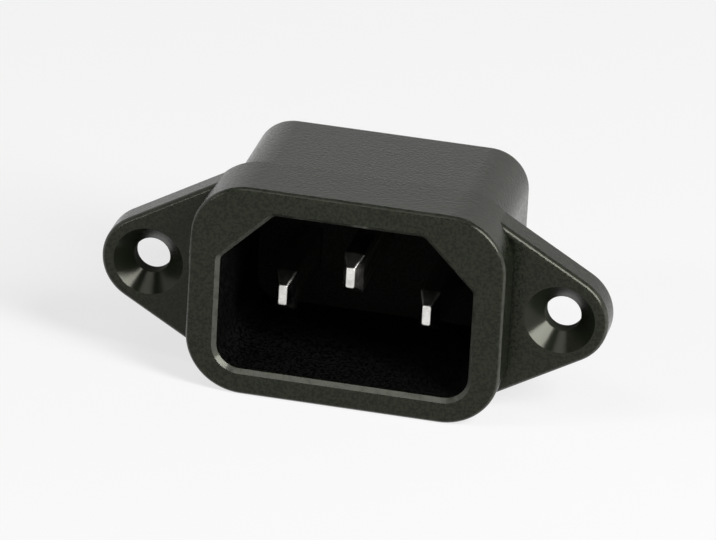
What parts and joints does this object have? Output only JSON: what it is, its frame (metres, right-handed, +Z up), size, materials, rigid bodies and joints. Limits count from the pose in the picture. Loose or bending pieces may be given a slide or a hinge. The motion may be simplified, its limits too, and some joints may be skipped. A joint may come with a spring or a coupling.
{
  "type": "c14 panel inlet socket",
  "caption": "Flange-mounted appliance power inlet: recessed male contacts in a moulded collar, countersunk fixing ears, rear push-on tabs.",
  "frame": {"origin": "midway between the two screw holes, on the flange's rear face, which lies on the panel", "axes": "+X across the socket to the right as seen from the front, +Y back through the panel, +Z up towards the earth contact"},
  "size_m": [0.0492, 0.028, 0.0214],
  "materials": {
    "housing_plastic": "satin moulded black",
    "pin_plating": "bright nickel plate on brass",
    "tab_plating": "tin plate on brass"
  },
  "bodies": {
    "root": {"housing": "housing_plastic", "left_pin": "pin_plating", "right_pin": "pin_plating", "earth_pin": "pin_plating", "left_tab": "tab_plating", "right_tab": "tab_plating", "earth_tab": "tab_plating"}
  },
  "joints": []
}
